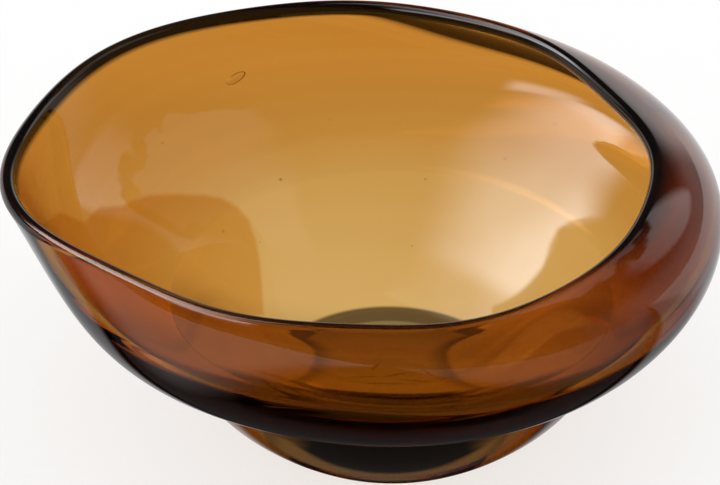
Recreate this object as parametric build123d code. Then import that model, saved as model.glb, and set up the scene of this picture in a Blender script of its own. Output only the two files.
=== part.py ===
# Free-formed art glass bowl, hot worked in amber glass.
#
#   bowl_body    thick-walled blown body; its drop-shaped, rounded rim is drawn out to a
#                soft point at -X and folded in over the belly at +X
#   base_gather  heavy gather of glass fused under the body: ball-shaped side, flat
#                ground underside with a shallow polished pontil dish
#
# Frame: millimetres, origin at the centre of the resting plane, +Z up.
from build123d import *
import math
import os

# ---------------------------------------------------------------- base gather
REST_RADIUS = 38.0            # outer radius of the flat ground face
PONTIL_RADIUS = 18.5
PONTIL_DEPTH = 1.2
PONTIL_MID_RADIUS = PONTIL_RADIUS / 2
PONTIL_MID_HEIGHT = 0.75 * PONTIL_DEPTH
BEVEL_RADIUS = 47.0           # the ground face eases into the side here
BEVEL_HEIGHT = 0.7
BEVEL_MID_RADIUS = (REST_RADIUS + BEVEL_RADIUS) / 2
BEVEL_MID_HEIGHT = 0.28 * BEVEL_HEIGHT

# (radius, height) up the side of the gather
GATHER_SIDE = [
    (BEVEL_RADIUS, BEVEL_HEIGHT), (51.4, 3.4), (57.3, 8.3), (61.7, 12.4), (65.8, 16.6),
    (69.5, 20.8), (73.4, 26.2), (76.9, 32.6), (79.4, 39.4), (80.9, 46.4), (81.1, 49.6),
]
# (radius, height) in along the top of the gather's blank, within the body's wall
GATHER_TOP = [
    GATHER_SIDE[-1], (75.4, 42.4), (68.5, 35.2), (60.0, 27.6), (48.0, 19.2),
    (34.0, 13.0), (18.0, 9.9), (0.0, 9.0),
]

# ------------------------------------------------------------- body, underside
# Crease where body and gather meet on the outside
CREASE_RADIUS = 81.0
CREASE_HEIGHT = 46.5
FLANK_SLOPE = 0.62            # rise per mm of radius, just outside the crease

UNDERSIDE_HEIGHT = 6.5        # at the centre
# (radius, height) out along the fused underside, from next to the centre
UNDERSIDE = [
    (9.0, 6.75), (18.0, 7.5), (27.0, 9.0), (36.0, 11.5), (45.0, 15.3),
    (54.0, 20.5), (62.0, 26.4), (69.0, 32.8), (75.0, 39.2), (79.0, 44.0),
]

# --------------------------------------------------- body, outside and inside
# The wall's section at each azimuth f follows two Bezier curves. The radius and
# height of their steering points vary with f as harmonics, listed as
# [a0, a1, b1, a2, b2, ...] = a0 + a1 cos f + b1 sin f + a2 cos 2f + b2 sin 2f ...

# Wall's middle line at the rim; outer surface lower down
LOW_RADIUS = [96.75, 1.09, 1.23, 2.57, 1.84, -0.27, -0.36]
BELLY_RADIUS = [114.42, 4.38, 2.75, 4.83, 4.56, -0.26, -0.36, -1.14, 1.57]
BELLY_HEIGHT = [56.03, 1.43, 0.0, -0.06, -0.03]
UPPER_RADIUS = [120.49, 3.42, 5.19, 5.4, 5.33, -0.59, 1.74, -1.43, 0.72, -0.17,
                -0.23, -0.07, -1.03]
UPPER_HEIGHT = [85.72, 2.84, 2.03, 0.08, 0.29]
RIM_RADIUS = [106.2, -19.41, 5.8, 4.64, -3.35, -1.42, 0.45, 0.63, -0.08, 0.15,
              -0.48, 0.75, 0.5, -0.14, -0.55, 0.18, 0.78]
RIM_HEIGHT = [103.28, 0.23, -0.18, -0.22, 1.31, 0.26, -0.48]

RIM_HALF = 2.7                # half the wall at the rim, and the radius of its rounding
FLARE_START = 0.45            # share of the outer curve where the offset to RIM_HALF starts

# Inner surface, from the rim down to the floor
INNER_LEAD = [22.32, -0.12, 0.05, 6.2, 2.39, 0.54, 4.49]     # along the rim's tangent
INNER_BELLY_RADIUS = [121.07, 21.71, 5.16, 5.62, 12.29, -2.67, -1.87, -3.06, 1.07]
INNER_BELLY_HEIGHT = [44.4, 1.62, 0.99, 1.81, 1.52]
INNER_FLANK_RADIUS = [46.94, -1.64, -4.87, -3.18, -7.85, 2.19, 1.58]
INNER_FLANK_HEIGHT = [80.45, 7.04, -1.58]
FLOOR_LEAD = 84.26            # radius of the point that steers the floor level
FLOOR_HEIGHT = 12.5           # inside floor at the centre

# Sampling of the body
RING_POINTS = 72
OUTER_STEPS = 18
RIM_STEPS = 8
INNER_STEPS = 24


# --------------------------------------------------------------------- curves
def harmonic(coefficients, azimuth):
    value = coefficients[0]
    for k in range(1, (len(coefficients) - 1) // 2 + 1):
        value += (coefficients[2 * k - 1] * math.cos(k * azimuth)
                  + coefficients[2 * k] * math.sin(k * azimuth))
    return value


def bezier_point(steering, t):
    degree = len(steering) - 1
    radius = height = 0.0
    for k, (point_radius, point_height) in enumerate(steering):
        weight = math.comb(degree, k) * t ** k * (1 - t) ** (degree - k)
        radius += weight * point_radius
        height += weight * point_height
    return radius, height


def bezier_tangent(steering, t):
    """Unit tangent, from the Bezier curve of the steps between steering points."""
    steps = [(b[0] - a[0], b[1] - a[1]) for a, b in zip(steering, steering[1:])]
    along_r, along_z = bezier_point(steps, t)
    length = math.hypot(along_r, along_z)
    return along_r / length, along_z / length


def outer_offset(t):
    """Distance from the outer curve to the outer surface, eased in towards the rim."""
    share = min(1.0, max(0.0, (t - FLARE_START) / (1 - FLARE_START)))
    return RIM_HALF * share * share * (3 - 2 * share)


# ----------------------------------------------------------------------- body
def outer_steering(azimuth):
    """Steering points of the outer curve, crease to rim."""
    low = harmonic(LOW_RADIUS, azimuth)
    return [
        (CREASE_RADIUS, CREASE_HEIGHT),
        (low, CREASE_HEIGHT + FLANK_SLOPE * (low - CREASE_RADIUS)),
        (harmonic(BELLY_RADIUS, azimuth), harmonic(BELLY_HEIGHT, azimuth)),
        (harmonic(UPPER_RADIUS, azimuth), harmonic(UPPER_HEIGHT, azimuth)),
        (harmonic(RIM_RADIUS, azimuth), harmonic(RIM_HEIGHT, azimuth)),
    ]


def inner_steering(azimuth, rim, tangent):
    """Steering points of the inner surface, rim to floor."""
    along_r, along_z = tangent
    edge_r = rim[0] - RIM_HALF * along_z
    edge_z = rim[1] + RIM_HALF * along_r
    lead = harmonic(INNER_LEAD, azimuth)
    return [
        (edge_r, edge_z),
        (edge_r - lead * along_r, edge_z - lead * along_z),
        (harmonic(INNER_BELLY_RADIUS, azimuth), harmonic(INNER_BELLY_HEIGHT, azimuth)),
        (harmonic(INNER_FLANK_RADIUS, azimuth), harmonic(INNER_FLANK_HEIGHT, azimuth)),
        (FLOOR_LEAD, FLOOR_HEIGHT),
        (0.0, FLOOR_HEIGHT),
    ]


def meridian(azimuth):
    """3D points of the wall's section: underside, outside, rim, inside to the floor."""
    outer = outer_steering(azimuth)
    points = list(UNDERSIDE)
    for i in range(OUTER_STEPS + 1):
        t = i / OUTER_STEPS
        radius, height = bezier_point(outer, t)
        along_r, along_z = bezier_tangent(outer, t)
        offset = outer_offset(t)
        points.append((radius + offset * along_z, height - offset * along_r))

    rim = bezier_point(outer, 1.0)
    tangent = along_r, along_z = bezier_tangent(outer, 1.0)
    for i in range(1, RIM_STEPS):
        angle = math.pi * i / RIM_STEPS
        across, ahead = RIM_HALF * math.cos(angle), RIM_HALF * math.sin(angle)
        points.append((rim[0] + across * along_z + ahead * along_r,
                       rim[1] - across * along_r + ahead * along_z))

    inner = inner_steering(azimuth, rim, tangent)
    points += [bezier_point(inner, i / INNER_STEPS) for i in range(INNER_STEPS)]
    return [(r * math.cos(azimuth), r * math.sin(azimuth), z) for r, z in points]


def build_body():
    """Loft through closed rings, from the underside's centre round to the floor's."""
    meridians = [meridian(2 * math.pi * i / RING_POINTS) for i in range(RING_POINTS)]
    # Equal parameters keep the rings' points in step round the body
    parameters = [i / RING_POINTS for i in range(RING_POINTS + 1)]
    sections = [Vertex(0, 0, UNDERSIDE_HEIGHT)]
    for ring in zip(*meridians):
        edge = Edge.make_spline(list(ring), periodic=True, parameters=parameters)
        sections.append(Wire([edge]))
    sections.append(Vertex(0, 0, FLOOR_HEIGHT))
    return Solid.make_loft(sections, ruled=False)


# --------------------------------------------------------------------- gather
def build_gather(body):
    """Revolved blank, with the body cut out of its top."""
    with BuildPart() as blank:
        with BuildSketch(Plane.XZ):
            with BuildLine():
                Spline(*GATHER_SIDE)
                top = Spline(*GATHER_TOP)
                Line(top @ 1, (0, PONTIL_DEPTH))
                ThreePointArc((0, PONTIL_DEPTH), (PONTIL_MID_RADIUS, PONTIL_MID_HEIGHT),
                              (PONTIL_RADIUS, 0))
                Line((PONTIL_RADIUS, 0), (REST_RADIUS, 0))
                ThreePointArc((REST_RADIUS, 0), (BEVEL_MID_RADIUS, BEVEL_MID_HEIGHT),
                              (BEVEL_RADIUS, BEVEL_HEIGHT))
            make_face()
        revolve(axis=Axis.Z)
    return blank.part - body


os.makedirs("parts", exist_ok=True)
bowl_body = build_body()
export_step(bowl_body, "parts/bowl_body.step")
export_step(build_gather(bowl_body), "parts/base_gather.step")
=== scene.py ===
# Free-formed amber art glass bowl with air bubbles in its wall, in a pale studio.
# It stands on the origin with its axis along +Z and is folded in towards +X. The
# camera looks along +Y from above the front. The bowl is worked out in millimetres.
import math
import bpy
import numpy as np
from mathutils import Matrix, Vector


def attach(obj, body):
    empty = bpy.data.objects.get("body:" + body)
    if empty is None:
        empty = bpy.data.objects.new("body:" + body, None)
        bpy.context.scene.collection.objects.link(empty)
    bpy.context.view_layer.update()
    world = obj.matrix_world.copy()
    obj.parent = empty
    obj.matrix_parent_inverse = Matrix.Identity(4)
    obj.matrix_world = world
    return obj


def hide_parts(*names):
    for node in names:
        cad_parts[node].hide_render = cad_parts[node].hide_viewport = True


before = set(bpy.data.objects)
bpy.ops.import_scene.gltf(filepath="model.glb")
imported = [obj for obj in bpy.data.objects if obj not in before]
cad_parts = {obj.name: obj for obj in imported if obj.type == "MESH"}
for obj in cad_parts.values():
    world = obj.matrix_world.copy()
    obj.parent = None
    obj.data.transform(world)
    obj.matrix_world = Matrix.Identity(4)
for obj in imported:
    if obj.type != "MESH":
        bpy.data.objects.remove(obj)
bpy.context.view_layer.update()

MM = 0.001

# Camera, in mm; bubbles and reflections are placed from its view
CAM_TARGET = (-11.42, 0.0, 70.85)
CAM_ELEV, CAM_DIST = math.radians(35.0), 950.0

# ------------------------------------------------------------ bowl sizes, mm
CREASE_RADIUS, CREASE_HEIGHT, FLANK_SLOPE = 81.0, 46.5, 0.62
REST_RADIUS, PONTIL_RADIUS, PONTIL_DEPTH = 38.0, 18.5, 1.2
BEVEL_RADIUS, BEVEL_HEIGHT = 47.0, 0.7
CREASE_GAP = 1.6         # the base side stops this far below the crease
RIM_HALF = 2.7           # half the thickness of the rounded rim
FLOOR_LEAD, FLOOR_HEIGHT = 84.26, 12.5
# Side of the base: radius, height
BASE_SIDE = [
    (BEVEL_RADIUS, BEVEL_HEIGHT), (51.4, 3.4), (57.3, 8.3), (61.7, 12.4), (65.8, 16.6),
    (69.5, 20.8), (73.4, 26.2), (76.9, 32.6), (79.4, 39.4), (80.9, 46.4), (81.1, 49.6)]

# Steering curves round the bowl: mean, then cosine and sine of each harmonic.
# R is a radius, Z a height, LEAD a length along the wall.
LOW_R = [96.75, 1.09, 1.23, 2.57, 1.84, -0.27, -0.36]
BELLY_R = [114.42, 4.38, 2.75, 4.83, 4.56, -0.26, -0.36, -1.14, 1.57]
BELLY_Z = [56.03, 1.43, 0.0, -0.06, -0.03]
UPPER_R = [120.49, 3.42, 5.19, 5.4, 5.33, -0.59, 1.74, -1.43, 0.72, -0.17,
           -0.23, -0.07, -1.03]
UPPER_Z = [85.72, 2.84, 2.03, 0.08, 0.29]
RIM_R = [106.2, -19.41, 5.8, 4.64, -3.35, -1.42, 0.45, 0.63, -0.08, 0.15,
         -0.48, 0.75, 0.5, -0.14, -0.55, 0.18, 0.78]
RIM_Z = [103.28, 0.23, -0.18, -0.22, 1.31, 0.26, -0.48]
INNER_LEAD = [22.32, -0.12, 0.05, 6.2, 2.39, 0.54, 4.49]
INNER_BELLY_R = [121.07, 21.71, 5.16, 5.62, 12.29, -2.67, -1.87, -3.06, 1.07]
INNER_BELLY_Z = [44.4, 1.62, 0.99, 1.81, 1.52]
INNER_FLANK_R = [46.94, -1.64, -4.87, -3.18, -7.85, 2.19, 1.58]
INNER_FLANK_Z = [80.45, 7.04, -1.58]

N_AZ = 384
FINE = 1.0
RIM_RINGS = int(28 * FINE)
AZIMUTH = np.linspace(0, 2 * math.pi, N_AZ, endpoint=False)


# ------------------------------------------------------------ curves
def smooth(x):
    x = np.clip(x, 0, 1)
    return x * x * (3 - 2 * x)


def harmonic(coeffs):
    """Value of a steering curve at each azimuth."""
    value = np.full_like(AZIMUTH, coeffs[0])
    for k in range(1, (len(coeffs) - 1) // 2 + 1):
        value = (value + coeffs[2 * k - 1] * np.cos(k * AZIMUTH)
                 + coeffs[2 * k] * np.sin(k * AZIMUTH))
    return value


def control(radius, height):
    """(A, 2) control point per azimuth; each coordinate is a number or an array."""
    return np.stack([np.broadcast_to(x, AZIMUTH.shape) for x in (radius, height)], axis=1)


def bezier(controls, t):
    """Points and unit tangents, each (T, A, 2), of one curve per azimuth."""
    n = len(controls) - 1
    points = sum(math.comb(n, k) * (t ** k * (1 - t) ** (n - k))[:, None, None]
                 * controls[k][None] for k in range(n + 1))
    slope = sum(n * math.comb(n - 1, k) * (t ** k * (1 - t) ** (n - 1 - k))[:, None, None]
                * (controls[k + 1] - controls[k])[None] for k in range(n))
    return points, slope / np.linalg.norm(slope, axis=2, keepdims=True)


def run_length(points):
    """Distance from the start of a 2-D polyline to each of its points."""
    return np.r_[0, np.cumsum(np.hypot(*np.diff(points, axis=0).T))]


def natural_spline(points, count):
    """Natural cubic spline through points (chord length parameter)."""
    p = np.array(points, float)
    u = run_length(p)
    size = len(p)
    h = np.diff(u)
    matrix = np.zeros((size, size))
    rhs = np.zeros((size, 2))
    matrix[0, 0] = matrix[-1, -1] = 1
    for i in range(1, size - 1):
        matrix[i, i - 1:i + 2] = h[i - 1], 2 * (h[i - 1] + h[i]), h[i]
        rhs[i] = 6 * ((p[i + 1] - p[i]) / h[i] - (p[i] - p[i - 1]) / h[i - 1])
    bend = np.linalg.solve(matrix, rhs)
    out = []
    for x in np.linspace(0, u[-1], count):
        i = min(size - 2, max(0, int(np.searchsorted(u, x) - 1)))
        after, before = u[i + 1] - x, x - u[i]
        out.append((bend[i] * after ** 3 + bend[i + 1] * before ** 3) / (6 * h[i])
                   + (p[i] / h[i] - bend[i] * h[i] / 6) * after
                   + (p[i + 1] / h[i] - bend[i + 1] * h[i] / 6) * before)
    return np.array(out)


def arc3(a, b, c, count=60):
    """Points on the circle through a, b, c from a to c."""
    a, b, c = (np.array(v, float) for v in (a, b, c))
    det = 2 * (a[0] * (b[1] - c[1]) + b[0] * (c[1] - a[1]) + c[0] * (a[1] - b[1]))
    aa, bb, cc = a @ a, b @ b, c @ c
    centre = np.array([
        (aa * (b[1] - c[1]) + bb * (c[1] - a[1]) + cc * (a[1] - b[1])) / det,
        (aa * (c[0] - b[0]) + bb * (a[0] - c[0]) + cc * (b[0] - a[0])) / det])
    radius = np.linalg.norm(a - centre)
    start = math.atan2(*(a - centre)[::-1])
    end = math.atan2(*(c - centre)[::-1])
    sweep = (end - start + math.pi) % (2 * math.pi) - math.pi
    angles = [start + sweep * i / (count - 1) for i in range(count)]
    return np.array([centre + radius * np.array([math.cos(t), math.sin(t)]) for t in angles])


def resample(points, step):
    """Polyline respaced to about step / FINE, without its first point."""
    u = run_length(points)
    count = max(2, int(round(u[-1] / (step / FINE))) + 1)
    x = np.linspace(0, u[-1], count)
    return np.stack([np.interp(x, u, points[:, i]) for i in (0, 1)], axis=1)[1:]


# ------------------------------------------------------------ glass outline
def underside():
    """Hollow pontil mark, flat rest and bevel, from the middle outwards."""
    hollow = arc3((0, PONTIL_DEPTH), (PONTIL_RADIUS * .5, PONTIL_DEPTH * .75), (PONTIL_RADIUS, 0))
    rest = np.array([(PONTIL_RADIUS, 0), (REST_RADIUS, 0)])
    bevel = arc3((REST_RADIUS, 0), ((REST_RADIUS + BEVEL_RADIUS) / 2, BEVEL_HEIGHT * .28),
                 (BEVEL_RADIUS, BEVEL_HEIGHT))
    return np.vstack([resample(hollow, 1.2), resample(rest, 1.5), resample(bevel, 0.9)])


def outer_body():
    """Outside wall, and the middle line's last point and tangent at the rim."""
    low = harmonic(LOW_R)
    controls = np.stack([
        control(CREASE_RADIUS, CREASE_HEIGHT),
        control(low, CREASE_HEIGHT + FLANK_SLOPE * (low - CREASE_RADIUS)),
        control(harmonic(BELLY_R), harmonic(BELLY_Z)),
        control(harmonic(UPPER_R), harmonic(UPPER_Z)),
        control(harmonic(RIM_R), harmonic(RIM_Z))])
    t = np.linspace(0.035, 1, int(150 * FINE))
    line, along = bezier(controls, t)
    offset = (RIM_HALF * smooth((t - 0.45) / 0.55))[:, None]
    wall = np.stack([line[..., 0] + offset * along[..., 1],
                     line[..., 1] - offset * along[..., 0]], axis=2)
    return wall, line[-1], along[-1]


def crease_fillet(below, above):
    """Small fillet where the base and the body meet."""
    below = np.broadcast_to(below, (N_AZ, 2))
    corner = control(CREASE_RADIUS, CREASE_HEIGHT)
    return np.stack([(1 - x) ** 2 * below + 2 * x * (1 - x) * corner + x * x * above
                     for x in np.linspace(0, 1, 8)[1:-1]])


def rounded_rim(centre, along):
    angle = np.linspace(0, math.pi, RIM_RINGS + 2)[1:-1]
    cos, sin = np.cos(angle)[:, None], np.sin(angle)[:, None]
    ar, az = along[None, :, 0], along[None, :, 1]
    return np.stack([centre[None, :, 0] + RIM_HALF * (cos * az + sin * ar),
                     centre[None, :, 1] + RIM_HALF * (-cos * ar + sin * az)], axis=2)


def inner_body(centre, along):
    """Inside from the rim down to the middle of the floor."""
    r = centre[:, 0] - RIM_HALF * along[:, 1]
    z = centre[:, 1] + RIM_HALF * along[:, 0]
    lead = harmonic(INNER_LEAD)
    controls = np.stack([
        control(r, z),
        control(r - lead * along[:, 0], z - lead * along[:, 1]),
        control(harmonic(INNER_BELLY_R), harmonic(INNER_BELLY_Z)),
        control(harmonic(INNER_FLANK_R), harmonic(INNER_FLANK_Z)),
        control(FLOOR_LEAD, FLOOR_HEIGHT),
        control(0.0, FLOOR_HEIGHT)])
    return bezier(controls, np.linspace(0, 1, int(230 * FINE))[:-1])[0]


def glass_rings():
    """(rings, A, 2) radius and height of the whole outline, from the middle of the
    underside round the outside, rim and inside to the middle of the floor; also
    the number of rings before the inside and the number on the underside."""
    under = underside()
    side = natural_spline(BASE_SIDE, 400)
    side = resample(side[side[:, 1] < CREASE_HEIGHT - CREASE_GAP], 1.0)
    base = np.repeat(np.vstack([under, side])[:, None, :], N_AZ, axis=1)
    wall, centre, along = outer_body()
    outside = np.vstack([base, crease_fillet(side[-1], wall[0]), wall,
                         rounded_rim(centre, along)])
    return np.vstack([outside, inner_body(centre, along)]), len(outside), len(under)


def shell_faces(n_rings):
    """Quads between rings, and a fan to a centre point at each end."""
    i = np.arange(n_rings * N_AZ).reshape(n_rings, N_AZ)
    after = np.roll(i, -1, axis=1)
    quads = np.stack([i[:-1], after[:-1], after[1:], i[1:]], axis=2).reshape(-1, 4)
    first = np.stack([np.full(N_AZ, i.size), after[0], i[0]], axis=1)
    last = np.stack([np.full(N_AZ, i.size + 1), i[-1], after[-1]], axis=1)
    return quads.tolist() + first.tolist() + last.tolist()


rings, n_outer, n_under = glass_rings()
n_rim = n_outer - RIM_RINGS
height = rings[..., 1]
surface = np.stack([rings[..., 0] * np.cos(AZIMUTH), rings[..., 0] * np.sin(AZIMUTH), height],
                   axis=-1)


def front_view(points):
    """Points as the camera sees them: mm right of and above CAM_TARGET, carried
    along the line of sight to the plane through it that faces the camera."""
    rel = points - np.array(CAM_TARGET)
    cos, sin = math.cos(CAM_ELEV), math.sin(CAM_ELEV)
    depth = CAM_DIST + rel[..., 1] * cos - rel[..., 2] * sin
    return np.stack([CAM_DIST * rel[..., 0] / depth,
                     CAM_DIST * (rel[..., 1] * sin + rel[..., 2] * cos) / depth], axis=-1)


view = front_view(surface)

# ------------------------------------------------------------ air in the glass
# Front view (right, up), depth in the far wall, radii, tilt in degrees
BUBBLES = [
    ((-43.8146, 58.1250), 2.5, (4.4, 1.7, 0.55), -14),
    ((-27.5608, 22.7907), 3.0, (0.55, 0.55, 0.5), 0),
    ((22.9673, 22.7907), 2.6, (0.45, 0.45, 0.4), 0),
    ((51.5882, 30.2109), 2.2, (0.5, 0.45, 0.4), 0),
    ((-47.7014, 4.4168), 3.0, (0.6, 0.5, 0.45), 0),
    ((67.8420, 42.9313), 2.4, (0.4, 0.4, 0.35), 0),
    ((-34.6277, 0.8834), 3.0, (0.35, 0.35, 0.3), 0),
    ((18.3739, -0.5300), 3.0, (0.3, 0.3, 0.3), 0),
    ((-10.6003, 43.9913), 2.4, (0.3, 0.3, 0.25), 0),
    ((-69.6087, 35.1577), 2.4, (0.35, 0.3, 0.3), 0)]
# Trails over the pontil mark: (x, y), half length, turn in degrees
SWIRL = [((-12.0, -7.0), 6.0, 12), ((-3.0, -12.5), 7.5, 3), ((9.0, -9.5), 6.0, -14),
         ((2.0, -4.0), 4.5, 20), ((14.0, -3.0), 3.5, -50), ((-6.0, 2.0), 3.0, 60)]
SWIRL_Z, SWIRL_HALF_WIDTH, SWIRL_HALF_HEIGHT = 3.2, 0.55, 0.3


def air(centre, axes, radii, around=20, down=12):
    """Closed ellipsoid of air: its faces look inwards, away from the glass."""
    points = [centre + axes[2] * radii[2]]
    for j in range(1, down):
        polar = math.pi * j / down
        for i in range(around):
            turn = 2 * math.pi * i / around
            points.append(centre + axes[0] * radii[0] * math.sin(polar) * math.cos(turn)
                          + axes[1] * radii[1] * math.sin(polar) * math.sin(turn)
                          + axes[2] * radii[2] * math.cos(polar))
    points.append(centre - axes[2] * radii[2])
    faces = []
    for i in range(around):
        k = (i + 1) % around
        faces.append([0, 1 + k, 1 + i])
        for j in range(down - 2):
            a, b = 1 + j * around + i, 1 + j * around + k
            faces.append([a, b, b + around, a + around])
        last = 1 + (down - 2) * around
        faces.append([last + i, last + k, len(points) - 1])
    return np.array(points), faces


def in_wall(place, depth):
    """Point in the far wall at a place of the front view, with its local axes."""
    inner = surface[n_outer:]
    miss = np.hypot(*(view[n_outer:] - place).transpose(2, 0, 1))
    miss[inner[..., 1] < -20] = 1e9          # leave out the near wall
    i, j = np.unravel_index(np.argmin(miss), miss.shape)
    i = min(max(i, 1), len(inner) - 2)
    along = inner[i, (j + 1) % N_AZ] - inner[i, j - 1]
    down = inner[i + 1, j] - inner[i - 1, j]
    along, down = along / np.linalg.norm(along), down / np.linalg.norm(down)
    out = np.cross(along, down)
    out /= np.linalg.norm(out)
    if out @ (inner[i, j] - (0, 0, 140)) < 0:
        out = -out
    return inner[i, j] + out * depth, np.array([np.cross(down, out), down, out])


def turned(axes, degrees):
    """Axes turned about the third one."""
    cos, sin = math.cos(math.radians(degrees)), math.sin(math.radians(degrees))
    return np.array([axes[0] * cos + axes[1] * sin, axes[1] * cos - axes[0] * sin, axes[2]])


def all_air():
    for place, depth, radii, tilt in BUBBLES:
        centre, axes = in_wall(np.array(place), depth)
        yield air(centre, turned(axes, tilt), radii)
    for (x, y), half, turn in SWIRL:
        yield air(np.array((x, y, SWIRL_Z)), turned(np.eye(3), turn),
                  (half, SWIRL_HALF_WIDTH, SWIRL_HALF_HEIGHT))


def make_glass():
    verts = np.vstack([surface.reshape(-1, 3), [[0, 0, PONTIL_DEPTH], [0, 0, FLOOR_HEIGHT]]])
    faces = shell_faces(len(rings))
    for points, air_faces in all_air():
        faces += [[len(verts) + i for i in face] for face in air_faces]
        verts = np.vstack([verts, points])
    mesh = bpy.data.meshes.new("bowl_glass")
    mesh.from_pydata((verts * MM).tolist(), [], faces)
    mesh.update()
    mesh.polygons.foreach_set("use_smooth", [True] * len(mesh.polygons))
    ob = bpy.data.objects.new("bowl_glass", mesh)
    bpy.context.scene.collection.objects.link(ob)
    return ob


glass = make_glass()
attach(glass, "root")
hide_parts("bowl_body", "base_gather")

# ------------------------------------------------------------ glass attributes
# The amber sits in thin layers on the inside and outside of a clear casing.
HUE = np.array([0.5525, 1.45, 3.5])          # optical depth of R, G, B per unit
# Height, units of amber
INSIDE_LAYER = [(0, 0.30), (14, 0.30), (24, 0.32), (40, 0.37), (60, 0.46), (80, 0.57),
                (90, 0.60), (108, 0.60)]
OUTSIDE_LAYER = [(0, 0.0), (1, 0.0), (6, 0.04), (30, 0.10), (46, 0.20), (56, 0.30),
                 (70, 0.34), (108, 0.36)]
BASE_SHADE = (0.46, 0.44, 0.42)               # painted shade on the base seen directly, below the crease
GREY_TOP, GREY_END = 45, 47                  # heights between which the grey ends
FOLD_SHADE = np.array([0.40, 0.28, 0.26])     # the folded-in side: painted shade, and deeper glass
RIM_SHADE = 0.97                         # painted shade on the inner half of the rounded rim

# Patches of the inside that mirror the near wall instead of the studio, as painted
# reflection: outlines in the front view (right, up), at the left and at the right
MIRRORS = [
    [(-106.0031, 10.7770), (-97.5229, 7.2435), (-91.8694, 12.5437), (-84.0958, 12.8970),
     (-79.5023, 15.3705), (-74.2022, 16.7838), (-65.3686, 17.1372), (-54.7683, 16.7838),
     (-48.7614, 15.7238), (-43.1079, 12.5437), (-39.2212, 7.9502), (-36.7477, 0.8834),
     (-35.3344, -6.8902), (-34.6277, -15.0171), (-33.9210, -25.6174), (-56.5350, -27.3841),
     (-95.4028, -6.1835), (-113.0700, 6.1835)],
    [(62.1885, -26.6775), (63.9552, -16.7838), (65.3686, -6.8902), (67.1353, -0.5300),
     (69.9621, 4.7701), (74.2022, 7.5969), (81.2691, 9.0103), (89.0426, 8.6569),
     (102.4697, 7.9502), (102.4697, -30.9176)]]
MIRROR_EDGE = 1.7667                         # width of a patch's soft edge


def layer_tint():
    """Colour of light after its pass through the amber layer at each vertex."""
    outer = np.interp(height, *np.array(OUTSIDE_LAYER).T)
    inner = np.interp(height, *np.array(INSIDE_LAYER).T)
    # faint rings left by the turning of the hot glass
    turning = (np.sin(height * 0.95 + 1.3 * np.cos(AZIMUTH))
               + 0.8 * np.sin(height * 0.41 + 1.0 + 0.7 * np.sin(2 * AZIMUTH))
               + 0.5 * np.sin(height * 2.1))
    inner = inner * (1 + 0.011 * turning * smooth((height - 45) / 15))
    over_rim = np.clip((np.arange(len(rings)) - n_rim) / (n_outer - n_rim), 0, 1)[:, None]
    amount = outer * (1 - over_rim) + inner * over_rim
    return np.exp(-2.0 * amount[..., None] * HUE)


def camera_shade_tint():
    """Extra painted shade where the camera sees the glass directly: on the base, the folded-in
    side and the rim.
    """
    camera_shade = np.stack([np.interp(height, (GREY_TOP, GREY_END), (grey, 1.0))
                     for grey in BASE_SHADE], axis=2)
    camera_shade[n_outer:] = 1.0
    # painted shade, with deeper glass, on the folded-in side
    fold = (smooth((np.cos(AZIMUTH) - 0.40) / 0.55)[None, :, None]
            * smooth((height - 47) / 4)[..., None])
    camera_shade[:n_outer] *= (1 - fold * (1 - FOLD_SHADE))[:n_outer]
    # painted shade on the rim's dark half, which starts further out on the +X side and ends just
    # inside
    ring = np.arange(len(rings))[:, None]
    on_fold = smooth((np.cos(AZIMUTH - 0.15) - 0.45) / 0.4)[None, :]
    start = n_rim + (0.12 - 0.50 * on_fold) * (n_outer - n_rim)
    grow = 0.35 * (n_outer - n_rim)
    fade = 3 * FINE
    dark = np.clip((ring - start) / grow, 0, 1) * np.clip(1 + (n_outer + fade - ring) / fade, 0, 1)
    return (camera_shade * (1 - RIM_SHADE * dark[..., None])) ** 2


def base_side_mask():
    """1 on the side of the base, in all three channels."""
    mask = np.zeros(height.shape)
    mask[n_under:n_rim] = height[n_under:n_rim] < CREASE_HEIGHT
    return np.repeat(mask[..., None], 3, axis=2)


def inside_outline(outline):
    """Signed distance in the front view, positive inside the outline."""
    x, y = view[..., 0], view[..., 1]
    hit = np.zeros(x.shape, bool)
    dist = np.full(x.shape, 1e9)
    for (x0, y0), (x1, y1) in zip(outline, outline[1:] + outline[:1]):
        dx, dy = x1 - x0, y1 - y0
        hit ^= ((y0 > y) != (y1 > y)) & (x < x0 + (y - y0) * dx / dy)
        along = np.clip(((x - x0) * dx + (y - y0) * dy) / (dx * dx + dy * dy), 0, 1)
        dist = np.minimum(dist, np.hypot(x - x0 - along * dx, y - y0 - along * dy))
    return np.where(hit, dist, -dist)


def mirror_mask():
    """Painted reflection masks: left patch, right patch, and where the inside takes less of the
    softbox.
    """
    right, up = view[..., 0], view[..., 1]
    mask = np.zeros(height.shape + (3,))
    for i, outline in enumerate(MIRRORS):
        mask[..., i] = smooth(0.5 + inside_outline(outline) / MIRROR_EDGE)
    # the floor of the bowl, below a slanting line
    floor_part = (0.75 * smooth((13.9571 - up - 0.5 * right) / 12.0137)
                  * smooth((6.1835 - up) / 14.1338))
    # a patch at the far right
    right_part = (0.9 * smooth((right - 86.9226) / 8.4803)
                  * smooth((42.5779 - up) / 8.4803) * smooth((up - 6.1835) / 5.3002))
    mask[..., 2] = np.maximum(floor_part, right_part)
    mask[:n_outer] = 0
    mask[surface[..., 1] < -45] = 0          # leave out the near wall
    return mask


def store(name, shell, first, last, air_value):
    """Colour attribute: rings, centre points of underside and floor, then air."""
    colour = np.ones((len(glass.data.vertices), 4))
    n_shell = height.size
    colour[:n_shell, :3] = shell.reshape(-1, 3)
    colour[n_shell, :3] = first
    colour[n_shell + 1, :3] = last
    colour[n_shell + 2:, :3] = air_value
    attribute = glass.data.color_attributes.new(name, "FLOAT_COLOR", "POINT")
    attribute.data.foreach_set("color", colour.reshape(-1).astype(np.float32))


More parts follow.
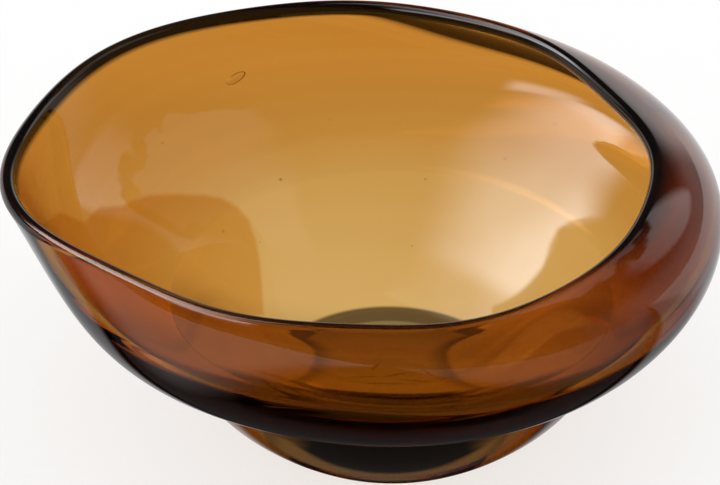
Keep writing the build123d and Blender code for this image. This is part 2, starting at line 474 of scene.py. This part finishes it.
layer, camera_shade = layer_tint(), camera_shade_tint()
store("mirror", mirror_mask(), first=0.0, last=0.0, air_value=0.0)
store("layer", layer, first=1.0, last=layer[-1].mean(axis=0), air_value=1.0)
store("camera_shade", camera_shade, first=camera_shade[0, 0], last=1.0, air_value=1.0)
store("base_side", base_side_mask(), first=0.0, last=0.0, air_value=0.0)


# ------------------------------------------------------------ shader helper
class Nodes:
    """Small arithmetic helper over a shader node tree."""

    def __init__(self, tree):
        self.tree = tree

    def new(self, kind):
        return self.tree.nodes.new("ShaderNode" + kind)

    def put(self, socket, x):
        if isinstance(x, (int, float, tuple)):
            socket.default_value = x
        else:
            self.tree.links.new(x, socket)

    def math(self, op, a, b=0.0, c=0.0):
        node = self.new("Math")
        node.operation = op
        for socket, x in zip(node.inputs, (a, b, c)):
            self.put(socket, x)
        return node.outputs[0]

    def chain(self, op, values):
        result = values[0]
        for x in values[1:]:
            result = self.math(op, result, x)
        return result

    def add(self, *values):
        return self.chain("ADD", values)

    def mul(self, *values):
        return self.chain("MULTIPLY", values)

    def largest(self, *values):
        return self.chain("MAXIMUM", values)

    def one_minus(self, x):
        return self.math("SUBTRACT", 1.0, x)

    def step(self, x, zero, one):
        """Smooth step that is 0 at zero and 1 at one, whichever is larger."""
        node = self.new("MapRange")
        node.interpolation_type = "SMOOTHSTEP"
        falls = zero > one
        self.put(node.inputs["Value"], x)
        node.inputs["From Min"].default_value = min(zero, one)
        node.inputs["From Max"].default_value = max(zero, one)
        node.inputs["To Min"].default_value = 1.0 if falls else 0.0
        node.inputs["To Max"].default_value = 0.0 if falls else 1.0
        return node.outputs["Result"]

    def band(self, x, rise, fall):
        return self.mul(self.step(x, *rise), self.step(x, zero=fall[1], one=fall[0]))

    def vector(self, op, a, b=None):
        node = self.new("VectorMath")
        node.operation = op
        self.put(node.inputs[0], a)
        if b is not None:
            self.put(node.inputs[1], b)
        return node.outputs

    def dot(self, a, b):
        return self.vector("DOT_PRODUCT", a, b)["Value"]

    def attr(self, name, out="Color"):
        node = self.new("Attribute")
        node.attribute_name = name
        return node.outputs[out]

    def mix_rgb(self, fac, a, b, blend="MIX"):
        node = self.new("Mix")
        node.data_type = "RGBA"
        node.blend_type = blend
        node.clamp_factor = True
        for i, x in ((0, fac), (6, a), (7, b)):
            self.put(node.inputs[i], x)
        return node.outputs[2]

    def tint(self, a, b):
        return self.mix_rgb(1.0, a, b, "MULTIPLY")

    def camera_axis(self, axis):
        """A direction of the camera's own axes, in world space."""
        node = self.new("VectorTransform")
        node.vector_type, node.convert_from, node.convert_to = "VECTOR", "CAMERA", "WORLD"
        node.inputs[0].default_value = axis
        return node.outputs[0]

    def view_axes(self):
        """Horizontal forward and right directions of the camera, in world space."""
        flat = self.vector("MULTIPLY", self.camera_axis((1, 0, 0)), (1, 1, 0))[0]
        right = self.vector("NORMALIZE", flat)[0]
        return self.vector("CROSS_PRODUCT", (0, 0, 1), right)[0], right

    def seen_plain(self):
        """1 for camera rays and after a diffuse bounce, 0 through the glass."""
        path = self.new("LightPath")
        diffuse = self.math("GREATER_THAN", path.outputs["Diffuse Depth"], 0.5)
        return self.largest(path.outputs["Is Camera Ray"], diffuse)


# ------------------------------------------------------------ amber glass
WHITE = (1.0, 1.0, 1.0, 1.0)
OVERHANG_SHADE = (0.0012, 0.0003, 0.0001, 1.0)    # painted shade on downward faces seen at a slant
GRAZING_SHADE = (0.30, 0.085, 0.03, 1.0)          # painted shade on faces seen nearly edge on
LEFT_PATCH_REFLECTION = (0.76, 0.50, 0.20, 1.0)
GLASS_IOR, BASE_IOR_DROP = 1.51, 0.49            # drop: base side seen from within
PATCH_HUSH = 0.92                                # loss of reflection in the patches
ABSORPTION = [s * 0.08 for s in (75.7, 198.0, 480.0)]    # R, G, B, per metre
VOLUME_DENSITY = 45.0


def amber():
    material = bpy.data.materials.new("amber_glass")
    material.use_nodes = True
    material.node_tree.nodes.clear()
    n = Nodes(material.node_tree)
    out = n.new("OutputMaterial")
    bsdf = n.new("BsdfPrincipled")
    bsdf.inputs["Roughness"].default_value = 0.0
    bsdf.inputs["Transmission Weight"].default_value = 1.0
    camera_ray = n.new("LightPath").outputs["Is Camera Ray"]
    geometry = n.new("NewGeometry").outputs
    # painted shade: the overhang, seen at a slant, is painted dark
    facing = n.math("ABSOLUTE", n.dot(geometry["Normal"], geometry["Incoming"]))
    normal_z = n.dot(geometry["Normal"], (0.0, 0.0, 1.0))
    under = n.mul(n.step(normal_z, zero=-0.05, one=-0.15), n.step(facing, zero=0.73, one=0.60),
                  n.one_minus(n.attr("base_side", "Fac")))
    slant_shade = n.mix_rgb(under, WHITE, OVERHANG_SHADE)
    # painted shade, amber-tinted, on faces seen nearly edge on
    edge = n.mul(n.step(facing, zero=0.60, one=0.22), n.one_minus(n.attr("base_side", "Fac")))
    slant_shade = n.tint(slant_shade, n.mix_rgb(edge, WHITE, GRAZING_SHADE))
    painted_colour = n.tint(n.attr("camera_shade"), slant_shade)
    mirror = n.new("SeparateColor")
    n.put(mirror.inputs[0], n.attr("mirror"))
    left, right, softbox_cut = mirror.outputs
    patches = n.largest(left, right)
    # painted reflection: the left patch takes the amber of the near wall
    painted_colour = n.mix_rgb(left, painted_colour, n.tint(painted_colour, LEFT_PATCH_REFLECTION))
    seen = n.mix_rgb(camera_ray, WHITE, painted_colour)
    n.put(bsdf.inputs["Base Color"], n.tint(n.attr("layer"), seen))
    # painted reflection: the patches and the softbox-cut parts reflect less of the studio
    quiet = n.largest(n.mul(patches, PATCH_HUSH), softbox_cut)
    hush = n.one_minus(n.mul(quiet, camera_ray))
    tone = n.new("CombineColor")
    for i in range(3):
        n.put(tone.inputs[i], hush)
    n.put(bsdf.inputs["Specular Tint"], tone.outputs[0])
    # from within, the base's side lets light straight out
    within = n.mul(geometry["Backfacing"], n.attr("base_side", "Fac"))
    n.put(bsdf.inputs["IOR"], n.math("SUBTRACT", GLASS_IOR, n.mul(within, BASE_IOR_DROP)))
    n.put(out.inputs["Surface"], bsdf.outputs["BSDF"])
    volume = n.new("VolumeAbsorption")
    volume.inputs["Density"].default_value = VOLUME_DENSITY
    volume.inputs["Color"].default_value = (*(1 - s / VOLUME_DENSITY for s in ABSORPTION), 1)
    n.put(out.inputs["Volume"], volume.outputs["Volume"])
    return material


glass.data.materials.append(amber())

# ------------------------------------------------------------ render settings
scene = bpy.context.scene
scene.view_settings.view_transform = "Standard"
scene.view_settings.look = "None"
scene.view_settings.exposure = 0.0
scene.view_settings.gamma = 1.0
scene.cycles.max_bounces = 32
scene.cycles.transmission_bounces = 32
scene.cycles.glossy_bounces = 16
scene.cycles.diffuse_bounces = 3
scene.cycles.transparent_max_bounces = 16
scene.cycles.caustics_reflective = True
scene.cycles.caustics_refractive = True

# ------------------------------------------------------------ studio world
# Brightness of each part of the surroundings
SOFTBOX_LEVEL, TAIL_LEVEL, WASH_LEVEL, AMBIENT_LEVEL = 7.6, 4.4, 0.50, 0.05
BACKDROP_LEVEL, BACKDROP_RIGHT_LOSS = 0.88, -0.55
PANEL_LEVEL, PANEL_FALL = 1.95, -0.018       # at azimuth 0, and per degree
RAGGED = 12.0                                # degrees of waver in the panel tops


def make_world():
    """Pale backdrop; a large softbox at the left, dark overhead and in front."""
    world = bpy.data.worlds.new("studio")
    world.use_nodes = True
    world.cycles.sampling_method = "NONE"
    n = Nodes(world.node_tree)
    background = world.node_tree.nodes["Background"]
    direction = n.new("TexCoord").outputs["Generated"]
    fwd, right = n.view_axes()
    f, r, up = (n.dot(direction, axis) for axis in (fwd, right, (0.0, 0.0, 1.0)))
    # degrees: azimuth from straight ahead to the right, and elevation
    az = n.mul(n.math("ARCTAN2", r, f), math.degrees(1))
    el = n.mul(n.math("ARCSINE", up), math.degrees(1))

    # large softbox at the left: brightest low down, fading upwards and to the front
    tall = n.add(1.0, n.mul(n.step(el, zero=38.0, one=56.0), -0.40),
                 n.mul(n.step(el, zero=56.0, one=76.0), -0.32))
    wide = n.mul(n.step(az, zero=-156.0, one=-93.0), n.step(az, zero=-45.0, one=-58.0))
    # the near wall hides most of its lower right corner, under a slanting edge
    corner_edge = n.add(el, n.mul(n.add(az, 61.0), 0.25))
    corner = n.mul(n.step(corner_edge, zero=42.0, one=40.0),
                   n.step(az, zero=-65.0, one=-61.0), 0.95)
    box = n.mul(tall, wide, n.step(el, zero=23.0, one=33.0), n.one_minus(corner), SOFTBOX_LEVEL)
    tail = n.mul(n.band(az, rise=(-158.0, -148.0), fall=(-124.0, -106.0)),
                 n.band(el, rise=(8.0, 28.0), fall=(34.0, 46.0)), TAIL_LEVEL)
    soft = n.largest(box, tail)

    # low backdrop, dimmer at the right
    dim_right = n.band(az, rise=(24.0, 36.0), fall=(100.0, 115.0))
    back = n.mul(n.step(el, zero=20.0, one=6.0),
                 n.step(n.math("ABSOLUTE", az), zero=115.0, one=85.0),
                 n.add(BACKDROP_LEVEL, n.mul(dim_right, BACKDROP_RIGHT_LOSS)))
    waver = n.new("TexNoise")
    waver.inputs["Scale"].default_value = 9.0
    waver.inputs["Detail"].default_value = 1.0
    n.put(waver.inputs["Vector"], direction)
    ragged = n.mul(n.add(waver.outputs["Fac"], -0.5), RAGGED)
    # panel at the right: ragged top at 30 degrees, lower edge rising to the right
    above_top = n.add(el, ragged, -30.0)
    above_lower = n.add(el, n.mul(az, -0.5), 17.0)
    panel = n.mul(n.band(az, rise=(41.0, 46.0), fall=(68.0, 84.0)),
                  n.step(above_top, zero=1.5, one=-1.5), n.step(above_lower, zero=-2.0, one=2.5),
                  n.step(el, zero=7.0, one=13.0), n.add(PANEL_LEVEL, n.mul(az, PANEL_FALL)))
    # faint wash above it from 35 degrees up, higher beyond azimuth 95
    above_wash = n.add(el, ragged, -35.0, n.mul(n.largest(n.add(az, -95.0), 0.0), -0.45))
    wash = n.mul(n.band(az, rise=(46.0, 52.0), fall=(112.0, 124.0)),
                 n.step(above_wash, zero=-1.0, one=1.0), n.step(el, zero=66.0, one=50.0),
                 WASH_LEVEL)
    panel = n.largest(panel, wash)
    level = n.add(n.largest(back, panel), soft, AMBIENT_LEVEL)
    seen = n.seen_plain()
    n.put(background.inputs["Strength"],
          n.add(n.mul(level, n.one_minus(seen)), n.mul(seen, 1.0)))
    background.inputs["Color"].default_value = WHITE
    return world


scene.world = make_world()

# ------------------------------------------------------------ studio floor
FLOOR_HALF, FLOOR_Z = 6.0, -0.0003           # metres
# Brightness of the floor's parts as the glass sees them
NEAR_LEVEL, LEFT_LEVEL, RIGHT_LEVEL, DARK_LEVEL, ABOVE_LEVEL = 0.06, 0.7, 0.35, 0.008, 0.52


def floor_material():
    """Pale matt floor; towards the glass it glows with painted light from behind and the left, and
    painted shadow under and in front of the base.
    """
    material = bpy.data.materials.new("floor")
    material.use_nodes = True
    material.cycles.emission_sampling = "NONE"
    nodes = material.node_tree.nodes
    n = Nodes(material.node_tree)
    matt = nodes["Principled BSDF"]
    matt.inputs["Base Color"].default_value = (0.34, 0.34, 0.34, 1)
    matt.inputs["Roughness"].default_value = 0.9
    matt.inputs["Specular IOR Level"].default_value = 0.1
    matt.inputs["Emission Color"].default_value = (1, 1, 1, 1)
    matt.inputs["Emission Strength"].default_value = 0.66
    position = n.new("NewGeometry").outputs["Position"]
    # metres away from the camera, to its right, and from the axis
    fwd, right = n.view_axes()
    f, r = n.dot(position, fwd), n.dot(position, right)
    rad = n.math("SQRT", n.add(n.mul(f, f), n.mul(r, r)))

    # painted shadow of the contact disc under the base: dark ring, dim middle, pinched at its
    # waist (mm)
    f_mm = n.mul(f, 1000.0)
    across = n.math("ABSOLUTE", n.add(n.mul(r, 1000.0), 3.5))
    from_waist = n.add(f_mm, -12.0)
    # the waist's half width is 27, and widens faster behind it than in front
    curve = n.add(0.0127, n.mul(n.math("GREATER_THAN", from_waist, 0.0), 0.059))
    waist = n.add(27.0, n.mul(from_waist, from_waist, curve))
    inside = n.mul(n.step(n.add(across, n.mul(waist, -1.0)), zero=1.6, one=-1.6),
                   n.step(rad, zero=0.0515, one=0.0490))
    ring = n.largest(n.step(n.add(across, n.mul(waist, -1.0)), zero=-11.0, one=-1.0),
                     n.step(rad, zero=0.0405, one=0.0425))
    # disc 0.40, lighter in front, darker in the ring; outside 0.52, lighter behind
    disc = n.add(0.40, n.mul(n.step(f_mm, zero=22.0, one=2.0), 0.10), n.mul(ring, -0.22))
    outside = n.add(0.52, n.mul(n.step(f_mm, zero=10.0, one=55.0), 0.37))
    contact = n.add(n.mul(inside, disc), n.mul(n.one_minus(inside), outside))

    # everything behind the front of the base, a little brighter far back
    rear = n.mul(n.step(f, zero=-0.045, one=-0.030),
                 n.add(contact, n.mul(n.step(f, zero=0.17, one=0.24), 0.12)))
    # painted shadow spot at the front of the disc
    toe = n.mul(n.step(f, zero=-0.022, one=-0.027),
                n.step(n.math("ABSOLUTE", n.add(r, 0.001)), zero=0.037, one=0.024))
    rear = n.mul(rear, n.one_minus(toe))
    near = n.mul(n.step(f, zero=-0.050, one=-0.056), n.step(f, zero=-0.13, one=-0.10),
                 NEAR_LEVEL)
    left = n.mul(n.step(r, zero=-0.08, one=-0.16), n.step(f, zero=-0.05, one=-0.12), LEFT_LEVEL)
    side = n.mul(n.step(r, zero=0.12, one=0.22), n.step(f, zero=-0.03, one=-0.1), RIGHT_LEVEL)
    # seen from high above, the whole floor glows with painted light, 0.35 less under the base
    tilt = n.new("SeparateXYZ")
    n.put(tilt.inputs[0], n.camera_axis((0, 0, 1)))
    above = n.mul(n.step(n.math("ABSOLUTE", tilt.outputs[2]), zero=0.78, one=0.95), ABOVE_LEVEL)
    above = n.mul(above, n.one_minus(n.mul(n.step(rad, zero=0.052, one=0.047), 0.35)))
    level = n.largest(n.largest(rear, near, left), n.largest(side, DARK_LEVEL), above)
    glow = n.new("Emission")
    n.put(glow.inputs["Strength"], level)
    mix = n.new("MixShader")
    for socket, x in zip(mix.inputs, (n.seen_plain(), glow.outputs[0], matt.outputs["BSDF"])):
        n.put(socket, x)
    n.put(nodes["Material Output"].inputs["Surface"], mix.outputs[0])
    return material


floor_mesh = bpy.data.meshes.new("floor")
floor_corners = [(x * FLOOR_HALF, y * FLOOR_HALF, FLOOR_Z)
                 for x, y in ((-1, -1), (1, -1), (1, 1), (-1, 1))]
floor_mesh.from_pydata(floor_corners, [], [(0, 1, 2, 3)])
floor = bpy.data.objects.new("floor", floor_mesh)
scene.collection.objects.link(floor)
floor.data.materials.append(floor_material())

# ------------------------------------------------------------ camera
target = Vector(CAM_TARGET) * MM
cam_data = bpy.data.cameras.new("camera")
cam_data.lens = 134.43
cam_data.sensor_width = 36.0
cam_data.clip_start = 0.01
cam_data.clip_end = 50.0
cam = bpy.data.objects.new("camera", cam_data)
scene.collection.objects.link(cam)
cam.location = target + Vector((0, -math.cos(CAM_ELEV), math.sin(CAM_ELEV))) * (CAM_DIST * MM)
cam.rotation_euler = (target - cam.location).to_track_quat("-Z", "Y").to_euler()
scene.camera = cam
